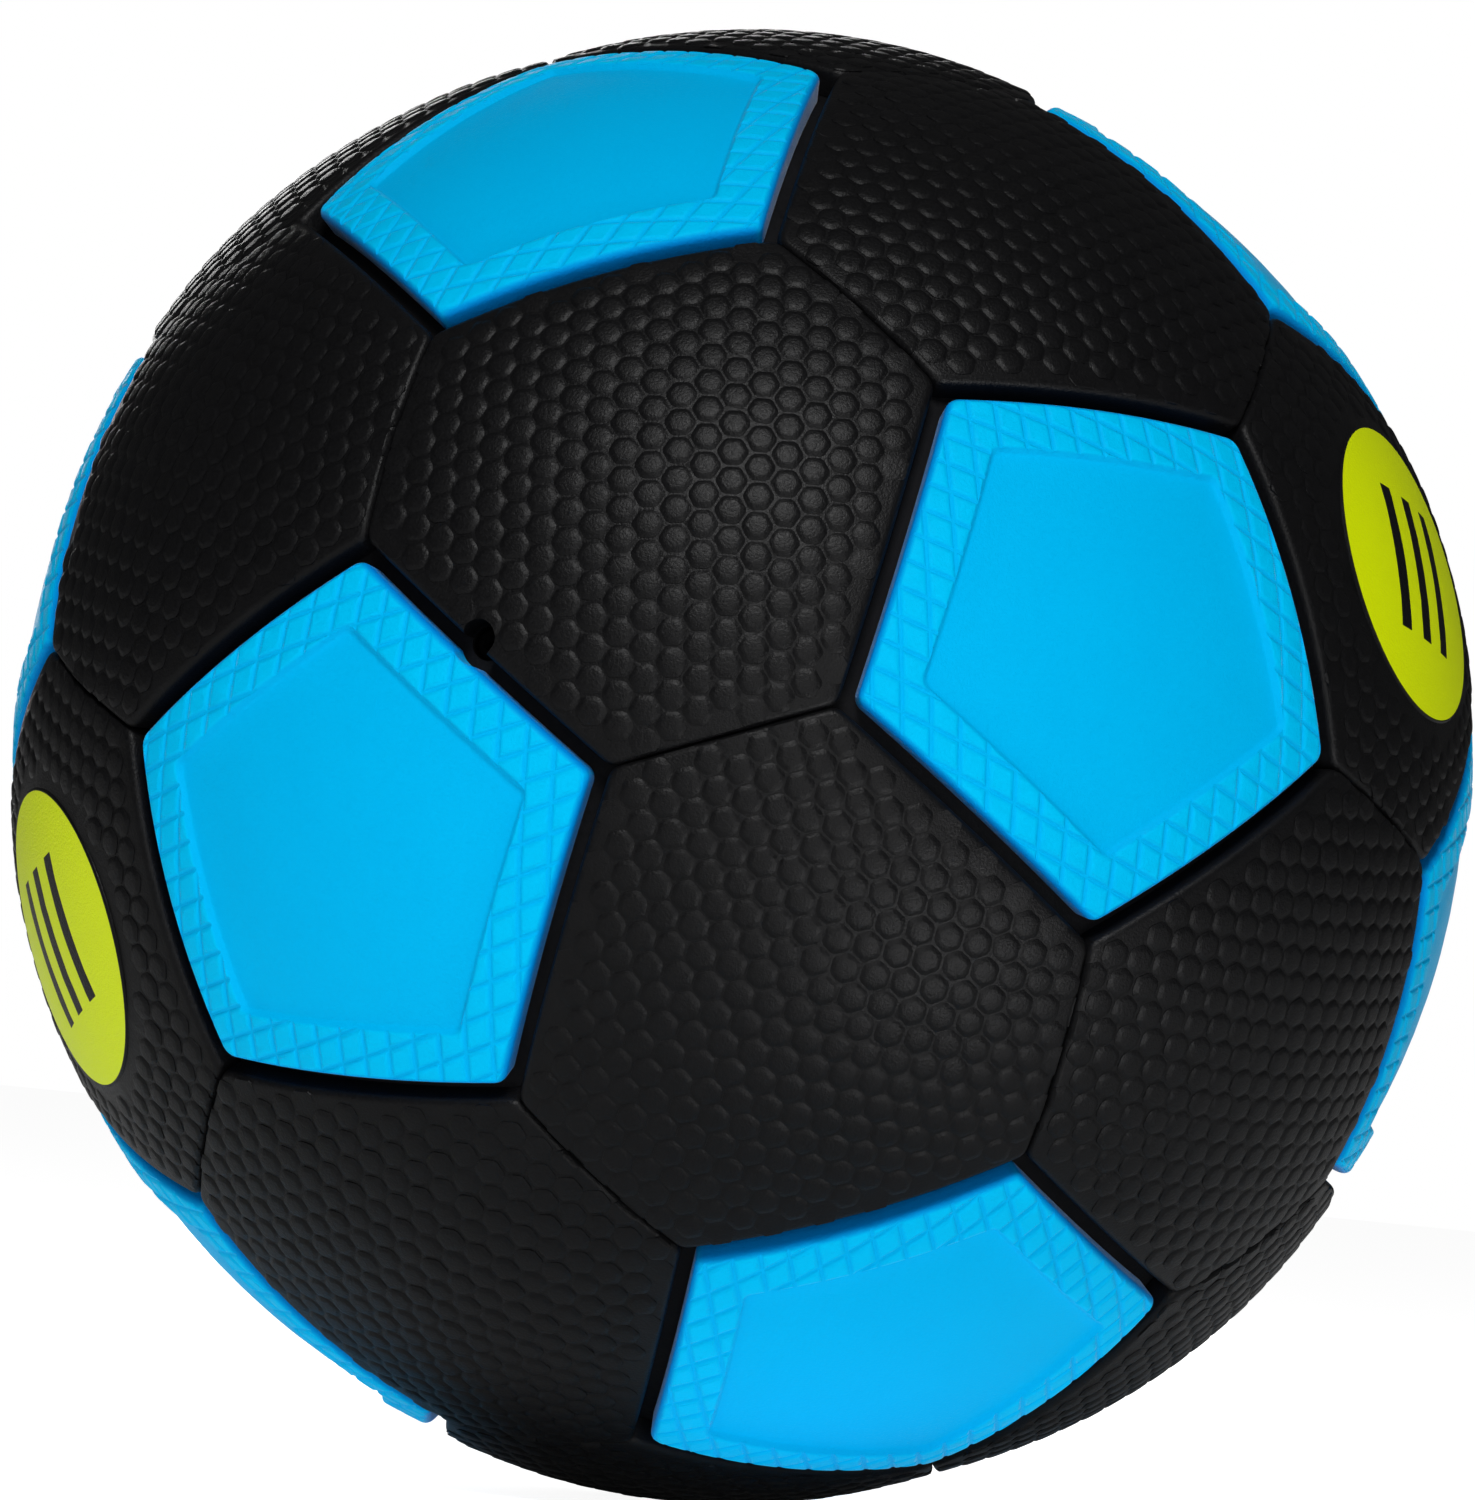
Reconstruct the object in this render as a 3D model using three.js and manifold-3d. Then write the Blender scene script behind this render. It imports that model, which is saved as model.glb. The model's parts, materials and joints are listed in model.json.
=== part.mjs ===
// Inflatable soccer ball with a soft foam cover.
// Twenty black hexagon panels and twelve blue pentagon pads are glued to a rubber carcass. The carcass
// is built on a thread-wound bladder, and a needle valve leads through all the layers.
// Millimetres, +Z up, origin at the centre of the ball, which stands on a hexagon. The side with the
// valve is the front and looks along -Y. Sizes on the cover are measured along the ball's surface.

import * as THREE from 'three';
import { mergeVertices } from 'three/addons/utils/BufferGeometryUtils.js';
import Module from 'manifold-3d';

// Hexagon panels
const ballRadius = 108;
const panelThickness = 5.5;
const panelCrown = 0.9;
const panelLipRound = 1.5;
const panelCornerRound = 2.6;
const seamWidth = 0.8;

// Pentagon pads
const padCornerReach = 40.8;
const padThickness = 4.3;
const padEdgeRound = 1.5;
const padCornerRound = 2.2;
const padRimWidth = 7.5;
const recessDepth = 1.1;
const recessSlope = 1.3;
const recessCornerRound = 1.6;
const moatWidth = 2.4;

// Layers under the cover
const glueFilm = 0.7;
const carcassThickness = 1.2;
const windingThickness = 0.8;
const bladderThickness = 0.9;
const layerGap = 0.3;

// Valve
const coreStemRadius = 1.6;
const coreHeadLip = 0.5;
const coreHeadLength = 2.4;
const coreLength = 20;
const needleHoleRadius = 0.5;
const needleHoleFloor = 5;
const valveFit = 0.3;
const coverHoleClearance = 0.4;
const stemWall = 2;
const stemBelowCore = 4;
const flangeWidth = 4.6;
const flangeThickness = 1.2;
const flangeGap = 0.8;
const valveInset = 1.1;
const valveOffset = 1.1;
const padNotchDepth = 0.5;

// Facets
const shellSegments = 24;
const shellSteps = 12;
const valveSegments = 20;
const cornerSteps = 1;
const panelSideSteps = 3;
const padSideSteps = 3;
const innerShares = [1 / 3, 2 / 3, 1];
const crownShare = 0.55;
const recessShare = 0.5;

// Looks
const blackFoam = { color: '#1c1c1d', roughness: 0.72, metalness: 0 };
const blueFoam = { color: '#00aeee', roughness: 0.55, metalness: 0 };
const blackRubber = { color: '#0e0e0f', roughness: 0.8, metalness: 0 };
const nylonThread = { color: '#d8d2c2', roughness: 0.85, metalness: 0 };
const butylRubber = { color: '#242426', roughness: 0.6, metalness: 0 };
const valveRubber = { color: '#161617', roughness: 0.65, metalness: 0 };

const seatRadius = ballRadius - panelThickness;
const carcassRadius = seatRadius - glueFilm;
const windingRadius = carcassRadius - carcassThickness - layerGap;
const bladderRadius = windingRadius - windingThickness - layerGap;
const bladderInside = bladderRadius - bladderThickness;
const coreHeadRadius = coreStemRadius + coreHeadLip;
const stemRadius = coreHeadRadius + valveFit + stemWall;
const stemTop = Math.sqrt(carcassRadius ** 2 - stemRadius ** 2);

const wasm = await Module();
wasm.setup();

// Directions of the pads: the twelve corners of an icosahedron, turned so that the middle of a face is
// up and the middle of an edge is the front.
function padDirections() {
  const golden = (1 + Math.sqrt(5)) / 2;
  const up = new THREE.Vector3(-1, 1, -1).normalize();
  const back = new THREE.Vector3(golden * golden, golden, -1).normalize();
  const right = new THREE.Vector3().crossVectors(back, up);
  const corners = [];
  for (const a of [-1, 1]) {
    for (const b of [-golden, golden]) {
      corners.push(new THREE.Vector3(0, a, b));
      corners.push(new THREE.Vector3(a, b, 0));
      corners.push(new THREE.Vector3(b, 0, a));
    }
  }
  const turned = corners.map((c) => new THREE.Vector3(c.dot(right), c.dot(back), c.dot(up)).normalize());
  return inOrder(turned);
}

// Directions of the hexagons: the middles of the faces between three neighbouring pads.
function hexagonDirections(pads) {
  const neighbours = (a, b) => a.angleTo(b) < pads[0].angleTo(nearest(pads[0], pads)) + 0.01;
  const middles = [];
  pads.forEach((a, i) => {
    const after = pads.slice(i + 1).filter((p) => neighbours(a, p));
    after.forEach((b, j) => {
      const third = after.slice(j + 1).filter((p) => neighbours(b, p));
      middles.push(...third.map((c) => a.clone().add(b).add(c).normalize()));
    });
  });
  return inOrder(middles);
}

// From the top of the ball down, and at each height round from the front.
function inOrder(directions) {
  const height = (d) => Math.round(d.z * 1000);
  const turn = (d) => Math.round(Math.atan2(d.x, -d.y) * 1000);
  return directions.sort((a, b) => height(b) - height(a) || turn(a) - turn(b));
}

function nearest(direction, others) {
  const apart = others.filter((o) => o.distanceTo(direction) > 0.01);
  return apart.reduce((best, o) => (o.distanceTo(direction) < best.distanceTo(direction) ? o : best));
}

// The turn that carries +Z to a direction, with +X leaning towards a second direction.
function facing(direction, towards) {
  const side = new THREE.Vector3().crossVectors(direction, towards).normalize();
  const lean = new THREE.Vector3().crossVectors(side, direction);
  const basis = new THREE.Matrix4().makeBasis(lean, side, direction);
  return new THREE.Quaternion().setFromRotationMatrix(basis);
}

// Outline of a piece of the cover whose sides are great circles, on the plane that touches the unit
// sphere at the middle of the piece. A side has a bearing and a reach, the distance from the middle.
function outline(sides, inset, cornerRound, sideSteps) {
  const round = cornerRound / ballRadius;
  const lines = sides.map((side) => ({ ...side, offset: Math.tan((side.reach - inset) / ballRadius) }));
  const centres = lines.map((line, i) => meeting(line, lines[(i + 1) % lines.length], round));
  const onArc = (centre, bearing) => new THREE.Vector2(Math.cos(bearing), Math.sin(bearing))
    .multiplyScalar(round).add(centre);
  const points = [];
  lines.forEach((line, i) => {
    const next = lines[(i + 1) % lines.length];
    const from = onArc(centres[(i + lines.length - 1) % lines.length], line.bearing);
    const to = onArc(centres[i], line.bearing);
    for (let s = 1; s < sideSteps; s += 1) {
      points.push(from.clone().lerp(to, s / sideSteps));
    }
    const bend = (next.bearing - line.bearing + 2 * Math.PI) % (2 * Math.PI);
    for (let s = 0; s <= cornerSteps; s += 1) {
      points.push(onArc(centres[i], line.bearing + (bend * s) / cornerSteps));
    }
  });
  return points;
}

// Where two sides meet once both are moved inwards by a distance.
function meeting(a, b, inwards) {
  const det = Math.sin(b.bearing - a.bearing);
  const p = a.offset - inwards;
  const q = b.offset - inwards;
  return new THREE.Vector2(
    (p * Math.sin(b.bearing) - q * Math.sin(a.bearing)) / det,
    (q * Math.cos(a.bearing) - p * Math.cos(b.bearing)) / det,
  );
}

// A ring of points over an outline at one distance from the ball's centre, drawn in by a share.
function ring(points, radius, share = 1) {
  return points.map((p) => new THREE.Vector3(p.x * share, p.y * share, 1).setLength(radius));
}

// A closed solid through rings, from the middle of its inner face, round the sides, to the middle of
// its outer face.
function loft(innerRadius, rings, outerRadius) {
  const count = rings[0].length;
  const innerMiddle = new THREE.Vector3(0, 0, innerRadius);
  const outerMiddle = new THREE.Vector3(0, 0, outerRadius);
  const points = [innerMiddle, ...rings.flat(), outerMiddle];
  const last = points.length - 1;
  const at = (r, i) => 1 + r * count + (i % count);
  const faces = [];
  for (let i = 0; i < count; i += 1) {
    faces.push(0, at(0, i + 1), at(0, i));
    for (let r = 0; r + 1 < rings.length; r += 1) {
      faces.push(at(r, i), at(r, i + 1), at(r + 1, i));
      faces.push(at(r, i + 1), at(r + 1, i + 1), at(r + 1, i));
    }
    faces.push(at(rings.length - 1, i), at(rings.length - 1, i + 1), last);
  }
  const geometry = new THREE.BufferGeometry().setFromPoints(points);
  geometry.setIndex(faces);
  return geometry;
}

// Inner face of a panel or pad, which lies on the glue.
function innerRings(rim) {
  return innerShares.map((share) => ring(rim, seatRadius, share));
}

function padReach() {
  const corner = padCornerReach / ballRadius;
  return Math.atan(Math.tan(corner) * Math.cos(Math.PI / 5)) * ballRadius;
}

// Hexagon panel: upright sides, a rolled lip and a low crown. Three sides face pads across the moat and
// three meet other hexagons at a seam.
function hexagonGeometry(padAngle, seamAngle) {
  const padSide = padAngle * ballRadius - padReach() - moatWidth;
  const seamSide = seamAngle * ballRadius - seamWidth / 2;
  const sides = [0, 1, 2, 3, 4, 5].map((i) => ({
    bearing: (i * Math.PI) / 3,
    reach: i % 2 === 0 ? padSide : seamSide,
  }));
  const cut = (inset) => outline(sides, inset, panelCornerRound, panelSideSteps);
  const rim = cut(0);
  const lipRadius = ballRadius - panelCrown;
  const lipMiddle = panelLipRound * (1 - Math.SQRT1_2);
  const inside = cut(panelLipRound);
  const crownRadius = ballRadius - panelCrown * crownShare ** 2;
  const rings = [
    ...innerRings(rim),
    ring(rim, lipRadius - panelLipRound),
    ring(cut(lipMiddle), lipRadius - lipMiddle),
    ring(inside, lipRadius),
    ring(inside, crownRadius, crownShare),
  ];
  return loft(seatRadius, rings, ballRadius);
}

// Pentagon pad: upright sides, a flat rim with its edge rolled over, and a sunk middle with sloping walls.
function padGeometry() {
  const reach = padReach();
  const sides = [0, 1, 2, 3, 4].map((i) => ({ bearing: ((2 * i + 1) * Math.PI) / 5, reach }));
  const rim = outline(sides, 0, padCornerRound, padSideSteps);
  const edgeMiddle = padEdgeRound * (1 - Math.SQRT1_2);
  const rimMiddle = outline(sides, edgeMiddle, padCornerRound, padSideSteps);
  const rimTop = outline(sides, padEdgeRound, padCornerRound, padSideSteps);
  const recessTop = outline(sides, padRimWidth, recessCornerRound, padSideSteps);
  const recessFoot = outline(sides, padRimWidth + recessSlope, recessCornerRound, padSideSteps);
  const topRadius = seatRadius + padThickness;
  const floorRadius = topRadius - recessDepth;
  const rings = [
    ...innerRings(rim),
    ring(rim, topRadius - padEdgeRound),
    ring(rimMiddle, topRadius - edgeMiddle),
    ring(rimTop, topRadius),
    ring(recessTop, topRadius),
    ring(recessFoot, floorRadius),
    ring(recessFoot, floorRadius, recessShare),
  ];
  return loft(seatRadius, rings, floorRadius);
}

function toSolid(geometry) {
  const bare = new THREE.BufferGeometry();
  bare.setAttribute('position', geometry.getAttribute('position'));
  bare.setIndex(geometry.getIndex());
  const merged = mergeVertices(bare);
  return new wasm.Manifold(new wasm.Mesh({
    numProp: 3,
    vertProperties: merged.getAttribute('position').array,
    triVerts: Uint32Array.from(merged.getIndex().array),
  }));
}

// A round hole bored through a piece of the cover along an axis from the ball's centre.
function bored(geometry, axis, radius) {
  const drillLength = 4 * panelThickness;
  const drill = new THREE.CylinderGeometry(radius, radius, drillLength, valveSegments);
  drill.applyQuaternion(new THREE.Quaternion().setFromUnitVectors(new THREE.Vector3(0, 1, 0), axis));
  drill.translate(...axis.clone().multiplyScalar(ballRadius));
  const mesh = toSolid(geometry).subtract(toSolid(drill)).getMesh();
  const cut = new THREE.BufferGeometry();
  cut.setAttribute('position', new THREE.BufferAttribute(mesh.vertProperties, 3));
  cut.setIndex(new THREE.BufferAttribute(mesh.triVerts, 1));
  return cut;
}

// A round layer of the ball with a hole for the valve stem, turned about the valve's axis.
function shellGeometry(radius, thickness) {
  const hole = stemRadius + valveFit;
  const arc = (r) => {
    const edge = Math.asin(hole / r);
    const points = [];
    for (let s = 0; s <= shellSteps; s += 1) {
      const angle = Math.PI + ((edge - Math.PI) * s) / shellSteps;
      const onAxis = s === 0;
      points.push(new THREE.Vector2(onAxis ? 0 : r * Math.sin(angle), r * Math.cos(angle)));
    }
    return points;
  };
  return new THREE.LatheGeometry([...arc(radius), ...arc(radius - thickness).reverse()], shellSegments);
}

// Valve housing: a stem through the layers with a flange inside the bladder, bored for the core.
function valveHousingGeometry() {
  const stemFoot = stemTop - coreLength - stemBelowCore;
  const flangeRadius = stemRadius + flangeWidth;
  const flangeTop = Math.sqrt(bladderInside ** 2 - flangeRadius ** 2) - flangeGap;
  const flangeFoot = flangeTop - flangeThickness;
  const step = stemTop - coreHeadLength - valveFit;
  const bore = coreStemRadius + valveFit;
  const counterbore = coreHeadRadius + valveFit;
  return lathe([
    [bore, stemFoot],
    [stemRadius, stemFoot],
    [stemRadius, flangeFoot],
    [flangeRadius, flangeFoot],
    [flangeRadius, flangeTop],
    [stemRadius, flangeTop],
    [stemRadius, stemTop],
    [counterbore, stemTop],
    [counterbore, step],
    [bore, step],
    [bore, stemFoot],
  ]);
}

// Valve core: a headed plug with a blind hole for the inflating needle, flush with the housing.
function valveCoreGeometry() {
  const coreFoot = stemTop - coreLength;
  const headFoot = stemTop - coreHeadLength;
  const needleHoleFoot = coreFoot + needleHoleFloor;
  return lathe([
    [0, coreFoot],
    [coreStemRadius, coreFoot],
    [coreStemRadius, headFoot],
    [coreHeadRadius, headFoot],
    [coreHeadRadius, stemTop],
    [needleHoleRadius, stemTop],
    [needleHoleRadius, needleHoleFoot],
    [0, needleHoleFoot],
  ]);
}

function lathe(profile) {
  return new THREE.LatheGeometry(profile.map(([x, y]) => new THREE.Vector2(x, y)), valveSegments);
}

const ball = new THREE.Group();

function add(name, geometry, look, turn) {
  const mesh = new THREE.Mesh(geometry, new THREE.MeshStandardMaterial(look));
  mesh.name = name;
  mesh.quaternion.copy(turn);
  ball.add(mesh);
}

const pads = padDirections();
const hexagons = hexagonDirections(pads);
const padAngle = hexagons[0].angleTo(nearest(hexagons[0], pads));
const seamAngle = hexagons[0].angleTo(nearest(hexagons[0], hexagons)) / 2;

// The valve lies at the upper edge of the pad on the left of the front, just inside the hexagon there.
const frontLeft = new THREE.Vector3(-1, -1, -0.3);
const valvePad = pads.reduce((a, b) => (b.angleTo(frontLeft) < a.angleTo(frontLeft) ? b : a));
const aboveFront = new THREE.Vector3(-0.1, -1, 0.35);
const valveHexagon = hexagons.reduce((a, b) => (b.angleTo(aboveFront) < a.angleTo(aboveFront) ? b : a));
const edgeLine = new THREE.Vector3().crossVectors(valvePad, valveHexagon).normalize();
const valveAxis = valvePad.clone()
  .applyAxisAngle(edgeLine, (padReach() + moatWidth + valveInset) / ballRadius)
  .addScaledVector(edgeLine, valveOffset / ballRadius)
  .normalize();
const valveTurn = new THREE.Quaternion().setFromUnitVectors(new THREE.Vector3(0, 1, 0), valveAxis);

add('bladder', shellGeometry(bladderRadius, bladderThickness), butylRubber, valveTurn);
add('thread_winding', shellGeometry(windingRadius, windingThickness), nylonThread, valveTurn);
add('carcass', shellGeometry(carcassRadius, carcassThickness), blackRubber, valveTurn);
add('valve_housing', valveHousingGeometry(), valveRubber, valveTurn);
add('valve_core', valveCoreGeometry(), valveRubber, valveTurn);

const plainHexagon = hexagonGeometry(padAngle, seamAngle);
const coverHoleRadius = coreHeadRadius + coverHoleClearance;
hexagons.forEach((direction, i) => {
  const turn = facing(direction, nearest(direction, pads));
  const valveHere = valveAxis.clone().applyQuaternion(turn.clone().invert());
  const holed = direction === valveHexagon;
  const geometry = holed ? bored(plainHexagon, valveHere, coverHoleRadius) : plainHexagon;
  add(`hexagon_panel_${String(i + 1).padStart(2, '0')}`, geometry, blackFoam, turn);
});

const plainPad = padGeometry();
const padNotchRadius = moatWidth + valveInset + padNotchDepth;
pads.forEach((direction, i) => {
  const turn = facing(direction, nearest(direction, pads));
  const valveHere = valveAxis.clone().applyQuaternion(turn.clone().invert());
  const notched = direction === valvePad;
  const geometry = notched ? bored(plainPad, valveHere, padNotchRadius) : plainPad;
  add(`pentagon_pad_${String(i + 1).padStart(2, '0')}`, geometry, blueFoam, turn);
});

export default ball;
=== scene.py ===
import json
import math

import bmesh
import bpy
from mathutils import Matrix, Vector


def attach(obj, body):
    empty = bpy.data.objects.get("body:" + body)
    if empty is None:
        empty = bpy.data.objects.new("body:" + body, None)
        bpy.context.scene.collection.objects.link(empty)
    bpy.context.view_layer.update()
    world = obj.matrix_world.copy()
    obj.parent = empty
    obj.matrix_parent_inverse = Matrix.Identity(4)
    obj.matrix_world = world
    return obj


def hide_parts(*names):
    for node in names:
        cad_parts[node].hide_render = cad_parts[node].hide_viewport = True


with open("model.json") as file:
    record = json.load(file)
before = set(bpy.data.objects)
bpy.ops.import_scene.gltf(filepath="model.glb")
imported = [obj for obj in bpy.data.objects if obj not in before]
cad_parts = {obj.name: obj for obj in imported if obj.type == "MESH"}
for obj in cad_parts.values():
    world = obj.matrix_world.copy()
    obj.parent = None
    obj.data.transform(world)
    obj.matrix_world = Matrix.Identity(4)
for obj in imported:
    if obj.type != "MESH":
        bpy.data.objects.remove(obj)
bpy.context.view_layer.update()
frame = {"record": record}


# Bladder: a hollow ball of butyl rubber that holds the air. It is moulded in one piece, with one hole
# that the stem of the valve is bonded into.
MM = 0.001
bladder_radius = 99.2 * MM
bladder_wall = 0.9 * MM
stem_hole = 4.7 * MM
layer_steps = 64
layer_segments = 96
layer_crease = 40
valve_axis = Vector(frame["record"]["behaviour"]["joints"][0]["axis"]).normalized()
along_valve = Vector((0, 0, 1)).rotation_difference(valve_axis).to_matrix().to_4x4()


def linear(colour):
    """A hex colour in sRGB as linear red, green, blue and alpha."""
    parts = [int(colour[i : i + 2], 16) / 255 for i in (1, 3, 5)]
    return tuple(p / 12.92 if p < 0.04045 else ((p + 0.055) / 1.055) ** 2.4 for p in parts) + (1.0,)


def add_node(tree, kind, sockets=None, **settings):
    """A new node with its settings. A socket gets a link or a value, by its name or number."""
    node = tree.nodes.new(kind)
    for name, value in settings.items():
        setattr(node, name, value)
    for name, value in (sockets or {}).items():
        if isinstance(value, bpy.types.NodeSocket):
            tree.links.new(value, node.inputs[name])
        else:
            node.inputs[name].default_value = value
    return node


def moulded(name, colour, pale, patch, grain, depth, roughness, sheen):
    """The skin of moulded rubber or foam: clouded colour, and a fine grain from the mould."""
    material = bpy.data.materials.new(name)
    material.use_nodes = True
    tree = material.node_tree
    shader = tree.nodes["Principled BSDF"]
    place = add_node(tree, "ShaderNodeTexCoord").outputs["Object"]
    clouds = add_node(
        tree, "ShaderNodeTexNoise", {"Vector": place, "Scale": 1 / patch, "Detail": 4.0, "Roughness": 0.6}
    )
    pores = add_node(
        tree, "ShaderNodeTexNoise", {"Vector": place, "Scale": 1 / grain, "Detail": 2.0, "Roughness": 0.7}
    )
    speckle = add_node(
        tree, "ShaderNodeMapRange", {0: pores.outputs["Fac"], 1: 0.3, 2: 0.7, 3: -0.3, 4: 0.3}, clamp=False
    )
    mottle = add_node(
        tree, "ShaderNodeMath", {0: clouds.outputs["Fac"], 1: speckle.outputs[0]}, operation="ADD"
    )
    tint = add_node(
        tree,
        "ShaderNodeMix",
        {0: mottle.outputs[0], 6: linear(colour), 7: linear(pale)},
        data_type="RGBA",
    )
    gloss = add_node(
        tree,
        "ShaderNodeMapRange",
        {0: pores.outputs["Fac"], 1: 0.3, 2: 0.7, 3: roughness[0], 4: roughness[1]},
    )
    relief = add_node(tree, "ShaderNodeBump", {"Height": pores.outputs["Fac"], "Distance": depth})
    tree.links.new(tint.outputs[2], shader.inputs["Base Color"])
    tree.links.new(gloss.outputs[0], shader.inputs["Roughness"])
    tree.links.new(relief.outputs[0], shader.inputs["Normal"])
    shader.inputs["Specular IOR Level"].default_value = sheen / 2
    return material


def turned(name, profile, segments):
    """A closed profile of (distance from the axis, height), turned about the axis of the valve."""
    work = bmesh.new()
    turns = [2 * math.pi * k / segments for k in range(segments)]
    rings = []
    for distance, height in profile:
        if distance == 0:
            rings.append([work.verts.new((0, 0, height))] * segments)
        else:
            rings.append(
                [work.verts.new((distance * math.cos(t), distance * math.sin(t), height)) for t in turns]
            )
    for lower, upper in zip(rings, rings[1:] + rings[:1]):
        for k in range(segments):
            after = (k + 1) % segments
            corners = list(dict.fromkeys((lower[k], lower[after], upper[after], upper[k])))
            if len(corners) > 2:
                work.faces.new(corners)
    bmesh.ops.recalc_face_normals(work, faces=work.faces)
    mesh = bpy.data.meshes.new(name)
    work.to_mesh(mesh)
    work.free()
    mesh.transform(along_valve)
    return mesh


def layer_profile(radius, wall, mouth):
    """A round layer of the ball, open at the stem of the valve and at the mouth on its outer side."""
    profile = []
    for r, hole, down in ((radius, mouth, True), (radius - wall, stem_hole, False)):
        edge = math.asin(hole / r)
        arc = []
        for s in range(layer_steps + 1):
            angle = edge + (math.pi - edge) * s / layer_steps
            arc.append((0 if s == layer_steps else r * math.sin(angle), r * math.cos(angle)))
        profile += arc if down else arc[::-1]
    return profile


def in_scene(mesh, material, crease):
    """A finished mesh as a piece of the scene, smooth but for edges sharper than the crease."""
    mesh.shade_smooth()
    mesh.set_sharp_from_angle(angle=math.radians(crease))
    if material.name not in mesh.materials:
        mesh.materials.append(material)
    piece = bpy.data.objects.new(mesh.name, mesh)
    bpy.context.scene.collection.objects.link(piece)
    return piece


# Butyl rubber, moulded: dull dark grey, with pale clouds of the talc that keeps it from sticking.
butyl_rubber = moulded(
    "butyl rubber, moulded",
    "#202022",
    "#3a3a3c",
    patch=22 * MM,
    grain=1.2 * MM,
    depth=0.06 * MM,
    roughness=(0.55, 0.75),
    sheen=0.4,
)
bladder_profile = layer_profile(bladder_radius, bladder_wall, stem_hole)
bladder = in_scene(turned("butyl_bladder", bladder_profile, layer_segments), butyl_rubber, layer_crease)
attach(bladder, "ball")
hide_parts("bladder")


# Thread winding: nylon thread wound round the bladder in every direction, which keeps the ball round
# under pressure. It is set in latex, so it lies as one thin layer.
winding_radius = 100.3 * MM
winding_wall = 0.8 * MM
thread_spacing = 1.4 * MM
thread_relief = 0.25 * MM


def wound_thread(name, colour, shade):
    """Nylon thread in three crossing directions, as pale ridges with latex between them. The waves
    have 20 radians to a metre at a scale of 1."""
    material = bpy.data.materials.new(name)
    material.use_nodes = True
    tree = material.node_tree
    shader = tree.nodes["Principled BSDF"]
    place = add_node(tree, "ShaderNodeTexCoord").outputs["Object"]
    height = None
    for turn in ((0.3, 0.9, 0.1), (1.2, -0.5, 0.8), (-0.7, 0.4, 1.9)):
        lay = add_node(tree, "ShaderNodeMapping", {"Vector": place, "Rotation": turn})
        ridges = add_node(
            tree,
            "ShaderNodeTexWave",
            {"Vector": lay.outputs[0], "Scale": 2 * math.pi / (20 * thread_spacing), "Distortion": 0.4},
        ).outputs["Fac"]
        if height is not None:
            ridges = add_node(tree, "ShaderNodeMath", {0: height, 1: ridges}, operation="MAXIMUM").outputs[0]
        height = ridges
    tint = add_node(
        tree, "ShaderNodeMix", {0: height, 6: linear(shade), 7: linear(colour)}, data_type="RGBA"
    )
    relief = add_node(tree, "ShaderNodeBump", {"Height": height, "Distance": thread_relief})
    tree.links.new(tint.outputs[2], shader.inputs["Base Color"])
    tree.links.new(relief.outputs[0], shader.inputs["Normal"])
    shader.inputs["Roughness"].default_value = 0.7
    return material


# Nylon thread, wound and set in latex: pale ridges that cross, with a yellowish film between them.
nylon_thread = wound_thread("nylon thread, wound and set in latex", "#d8d2c2", "#9a8f74")
winding_profile = layer_profile(winding_radius, winding_wall, stem_hole)
winding = in_scene(turned("nylon_winding", winding_profile, layer_segments), nylon_thread, layer_crease)
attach(winding, "ball")
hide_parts("thread_winding")


# Carcass: a black rubber skin vulcanised over the winding, with the coat of cement that the cover is
# stuck to. It shows as the dark floor of the moat round each pad.
carcass_radius = 102.4 * MM
carcass_wall = 1.8 * MM
needle_mouth = 2.5 * MM
mouth_foot = 101.85 * MM

# Natural rubber, vulcanised and brushed with cement: black and dull, with a faint uneven coat.
carcass_rubber = moulded(
    "natural rubber with a coat of cement",
    "#0c0c0d",
    "#171719",
    patch=6 * MM,
    grain=0.8 * MM,
    depth=0.08 * MM,
    roughness=(0.6, 0.85),
    sheen=0.12,
)
carcass_profile = layer_profile(carcass_radius, carcass_wall, needle_mouth)
carcass_profile += [(stem_hole, mouth_foot), (needle_mouth, mouth_foot)]
carcass = in_scene(turned("rubber_carcass", carcass_profile, layer_segments), carcass_rubber, layer_crease)
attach(carcass, "ball")
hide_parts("carcass")


# Valve housing: a rubber stem with a flange that is bonded to the inside of the bladder. It is moulded
# in one piece and bored for the plug, with a wider seat for the plug's head.
valve_segments = 48
valve_crease = 30
stem_top = 101.7 * MM
stem_foot = 77.7 * MM
stem_radius = 4.4 * MM
stem_round = 0.4 * MM
flange_radius = 9.0 * MM
flange_top = 97.08 * MM
flange_foot = 95.88 * MM
flange_edge = 0.35 * MM
head_seat = 2.4 * MM
head_seat_floor = 99.0 * MM
plug_bore = 1.9 * MM

# Butyl rubber, moulded for the valve: soft and black, and dull all over. It is drawn deeper black than
# the rubber is, as painted shade for the bottom of the bore at the valve.
valve_rubber_painted_shade = moulded(
    "butyl rubber, moulded for the valve",
    "#030303",
    "#060606",
    patch=3 * MM,
    grain=0.5 * MM,
    depth=0.03 * MM,
    roughness=(0.6, 0.8),
    sheen=0.03,
)
housing_profile = [
    (plug_bore, stem_foot),
    (stem_radius - stem_round, stem_foot),
    (stem_radius, stem_foot + stem_round),
    (stem_radius, flange_foot),
    (flange_radius - 2 * flange_edge, flange_foot),
    (flange_radius, flange_foot + flange_edge),
    (flange_radius, flange_top - flange_edge),
    (flange_radius - 2 * flange_edge, flange_top),
    (stem_radius, flange_top),
    (stem_radius, stem_top - stem_round),
    (stem_radius - stem_round, stem_top),
    (head_seat, stem_top),
    (head_seat, head_seat_floor),
    (plug_bore, head_seat_floor),
]
housing = in_scene(turned("valve_stem", housing_profile, valve_segments), valve_rubber_painted_shade, valve_crease)
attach(housing, "ball")
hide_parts("valve_housing")


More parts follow.
